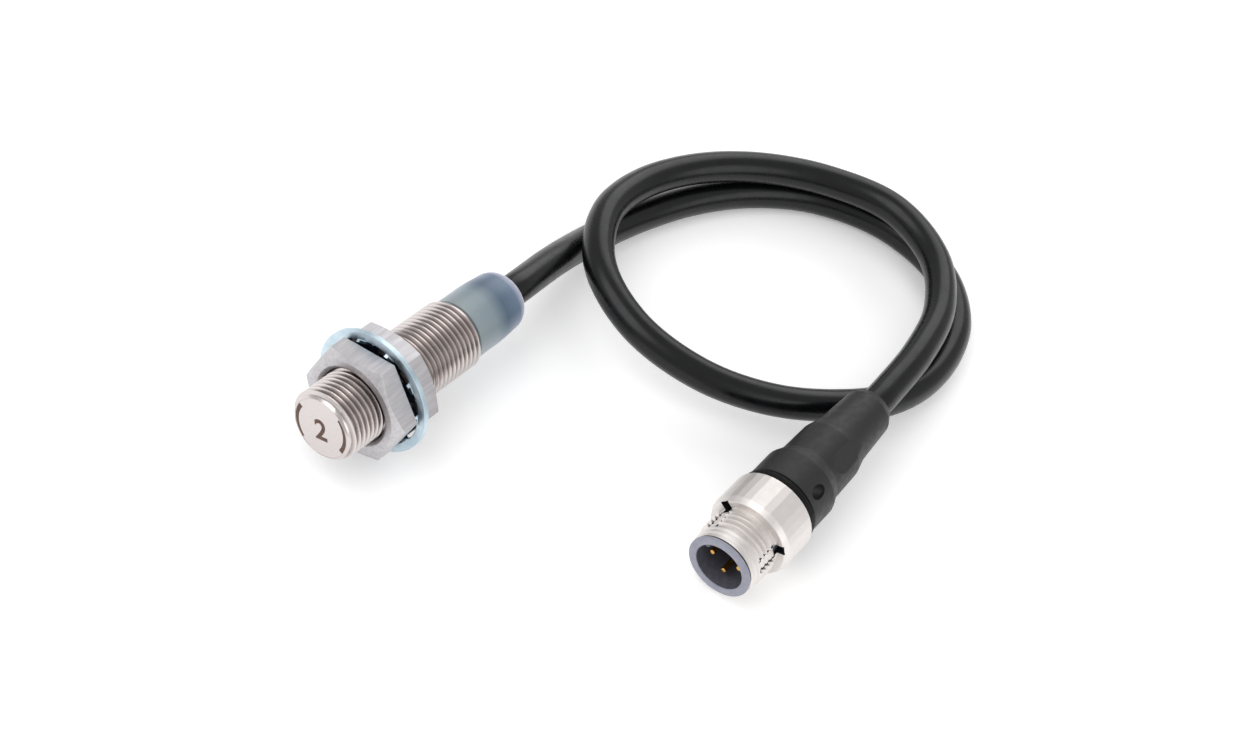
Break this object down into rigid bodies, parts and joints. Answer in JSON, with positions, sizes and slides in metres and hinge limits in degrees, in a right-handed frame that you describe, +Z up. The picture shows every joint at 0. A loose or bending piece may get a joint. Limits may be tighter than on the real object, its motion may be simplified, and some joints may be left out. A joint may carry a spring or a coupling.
{
  "type": "proximity sensor",
  "caption": "Threaded cylindrical proximity sensor with clamping nuts, a toothed lock washer and a short looped cable that ends in a screw-on round connector.",
  "frame": {"origin": "under the middle of the sensor, on the surface that the lock washer's rim rests on", "axes": "+X along the sensor from its sensing face to its cable, +Z up, the cable's loop on the -Y side"},
  "size_m": [0.1236, 0.0726, 0.021],
  "materials": {
    "barrel_stainless": "satin",
    "nut_stainless": "satin",
    "washer_zinc": "zinc plated",
    "cap_frosted": "frosted translucent plastic",
    "rubber_black": "matte",
    "potting_resin": "cast resin",
    "tin_plate": "satin",
    "ferrite": "matte ferrite ceramic",
    "nylon_white": "matte",
    "copper_wire": "enamelled copper",
    "board_green": "solder mask",
    "chip_black": "matte",
    "ceramic_tan": "matte",
    "led_amber": "clear tinted",
    "wire_brown": "matte",
    "wire_black": "matte",
    "wire_blue": "matte",
    "cable_black": "satin",
    "insulator_grey": "matte",
    "pin_gold": "gold plated",
    "collar_nickel": "nickel plated",
    "grip_black": "matte"
  },
  "bodies": {
    "sensor": {"cable_crimp": "tin_plate", "cable_jacket": "cable_black", "cap_seal": "rubber_black", "circuit_board": "board_green", "coil_bobbin": "nylon_white", "coil_winding": "copper_wire", "contact_insulator": "insulator_grey", "contact_pin_1": "pin_gold", "contact_pin_2": "pin_gold", "contact_pin_3": "pin_gold", "contact_pin_4": "pin_gold", "core_holder": "nylon_white", "ferrite_core": "ferrite", "filter_capacitor": "ceramic_tan", "indicator_led": "led_amber", "inner_mould": "nylon_white", "oscillator_chip": "chip_black", "output_transistor": "chip_black", "plug_grip": "grip_black", "plug_seal": "rubber_black", "plug_wire_black": "wire_black", "plug_wire_blue": "wire_blue", "plug_wire_brown": "wire_brown", "potting_resin": "potting_resin", "protection_diode": "chip_black", "rear_cap": "cap_frosted", "sensor_barrel": "barrel_stainless", "sensor_wire_black": "wire_black", "sensor_wire_blue": "wire_blue", "sensor_wire_brown": "wire_brown", "supply_capacitor": "ceramic_tan", "trim_resistor": "chip_black"},
    "washer": {"lock_washer": "washer_zinc"},
    "nut_front": {"front_nut": "nut_stainless"},
    "nut_rear": {"rear_nut": "nut_stainless"},
    "collar": {"coupling_collar": "collar_nickel"}
  },
  "joints": [
    {"name": "washer_slide", "type": "slide", "parent": "sensor", "child": "washer", "axis": [1, 0, 0], "range_m": [-0.00541, 0.01321]},
    {"name": "front_nut_spin", "type": "hinge", "parent": "washer", "child": "nut_front", "pos_m": [-0.01305, 0, 0.0105], "axis": [1, 0, 0], "range_deg": [-1944, 4752]},
    {"name": "rear_nut_spin", "type": "hinge", "parent": "washer", "child": "nut_rear", "pos_m": [-0.007, 0, 0.0105], "axis": [1, 0, 0], "range_deg": [-1945, 4753]},
    {"name": "collar_spin", "type": "hinge", "parent": "sensor", "child": "collar", "pos_m": [0.011, -0.0551, 0.00664], "axis": [0.995, 0.0487, 0.0872], "continuous": true}
  ],
  "couplings": [
    {"joint": "washer_slide", "follows": "front_nut_spin", "m_per_rad": 0.00015915},
    {"joint": "rear_nut_spin", "follows": "front_nut_spin", "ratio": 1}
  ]
}
